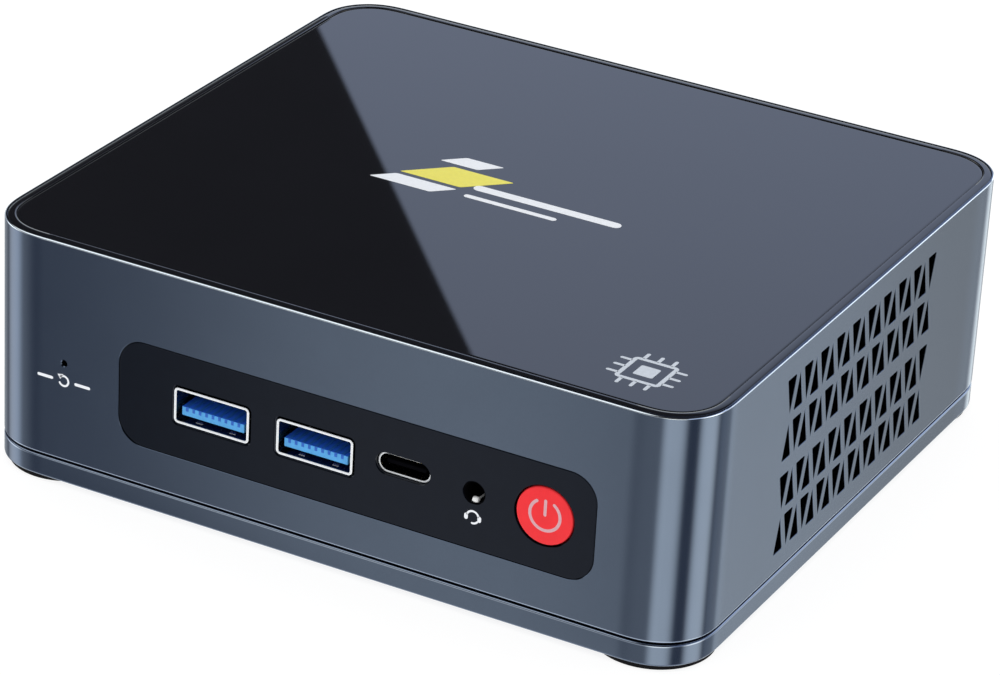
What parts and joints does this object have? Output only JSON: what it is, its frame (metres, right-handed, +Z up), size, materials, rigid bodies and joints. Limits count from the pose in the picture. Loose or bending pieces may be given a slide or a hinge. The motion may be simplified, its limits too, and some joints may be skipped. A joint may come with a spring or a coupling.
{
  "type": "mini pc",
  "caption": "Palm-sized desktop computer: rounded square case on low rubber feet, gloss lid panel, front port panel with round power button, triangle vents in its walls.",
  "frame": {"origin": "on the table, under the middle of the case", "axes": "+X to the right along the front wall, +Y from the front wall to the rear wall, +Z up"},
  "size_m": [0.124, 0.113, 0.042],
  "materials": {
    "case_metal": "satin dark blue-grey metallic paint",
    "gloss_black": "mirror-gloss black",
    "panel_black": "satin black, fine moulded texture",
    "foot_rubber": "matt black rubber",
    "button_red": "satin red with a pale ring-and-bar symbol",
    "port_metal": "bright nickel-plated pressed steel",
    "usb_blue": "satin blue moulding",
    "socket_black": "satin black moulding",
    "contact_gold": "gold-plated contact metal",
    "screw_steel": "blackened steel",
    "board_green": "green solder-masked laminate",
    "chip_black": "matt black moulded package",
    "sink_metal": "bare aluminium",
    "fan_black": "satin black moulding",
    "cell_steel": "bright steel can",
    "antenna_black": "matt black film and cable jacket",
    "flex_orange": "amber flexible film"
  },
  "bodies": {
    "chassis": {"antenna_left": "antenna_black", "antenna_right": "antenna_black", "audio_jack": "socket_black", "audio_jack_contact": "contact_gold", "board_screw_left": "screw_steel", "board_screw_right": "screw_steel", "bottom_cover": "case_metal", "clear_switch_body": "socket_black", "cmos_battery": "cell_steel", "cover_screw_front_left": "screw_steel", "cover_screw_front_right": "screw_steel", "cover_screw_rear_left": "screw_steel", "cover_screw_rear_right": "screw_steel", "cpu_package": "chip_black", "dc_jack": "socket_black", "dc_jack_pin": "port_metal", "drive_bay": "panel_black", "fan_cover": "sink_metal", "fan_housing": "fan_black", "foot_front_left": "foot_rubber", "foot_front_right": "foot_rubber", "foot_rear_left": "foot_rubber", "foot_rear_right": "foot_rubber", "front_panel": "panel_black", "hdmi_left_shell": "port_metal", "hdmi_left_tongue": "socket_black", "hdmi_right_shell": "port_metal", "hdmi_right_tongue": "socket_black", "heatsink": "sink_metal", "lan_left_port": "port_metal", "lan_right_port": "port_metal", "motherboard": "board_green", "power_switch_body": "socket_black", "ram_module": "board_green", "ram_socket": "socket_black", "rear_panel": "panel_black", "sata_board": "board_green", "sata_flex": "flex_orange", "ssd_module": "board_green", "ssd_screw": "screw_steel", "ssd_socket": "socket_black", "ssd_standoff": "contact_gold", "top_panel": "gloss_black", "upper_shell": "case_metal", "usb_a_front_left_shell": "port_metal", "usb_a_front_left_tongue": "usb_blue", "usb_a_front_right_shell": "port_metal", "usb_a_front_right_tongue": "usb_blue", "usb_a_rear_shell": "port_metal", "usb_a_rear_tongue": "usb_blue", "usb_c_shell": "port_metal", "usb_c_tongue": "socket_black", "wifi_card": "board_green", "wifi_socket": "socket_black"},
    "button": {"power_button": "button_red"},
    "power_plunger": {"power_switch_plunger": "chip_black"},
    "clear_plunger": {"clear_switch_plunger": "chip_black"},
    "fan": {"fan_rotor": "fan_black"},
    "latch_left": {"ram_latch_left": "port_metal"},
    "latch_right": {"ram_latch_right": "port_metal"}
  },
  "joints": [
    {"name": "power_button_press", "type": "slide", "parent": "chassis", "child": "button", "axis": [0, 1, 0], "range_m": [0, 0.00035]},
    {"name": "power_switch_press", "type": "slide", "parent": "chassis", "child": "power_plunger", "axis": [0, 1, 0], "range_m": [0, 0.00035]},
    {"name": "clear_switch_press", "type": "slide", "parent": "chassis", "child": "clear_plunger", "axis": [0, 1, 0], "range_m": [0, 0.00025]},
    {"name": "fan_spin", "type": "hinge", "parent": "chassis", "child": "fan", "pos_m": [0.006, -0.002, 0.0326], "axis": [0, 0, 1], "continuous": true},
    {"name": "ram_latch_left_flex", "type": "hinge", "parent": "chassis", "child": "latch_left", "pos_m": [-0.0444, 0.0232, 0.0201], "axis": [0, 0, -1], "range_deg": [0, 4]},
    {"name": "ram_latch_right_flex", "type": "hinge", "parent": "chassis", "child": "latch_right", "pos_m": [0.0284, 0.0232, 0.0201], "axis": [0, 0, 1], "range_deg": [0, 4]}
  ],
  "couplings": [
    {"joint": "power_switch_press", "follows": "power_button_press", "ratio": 1}
  ]
}
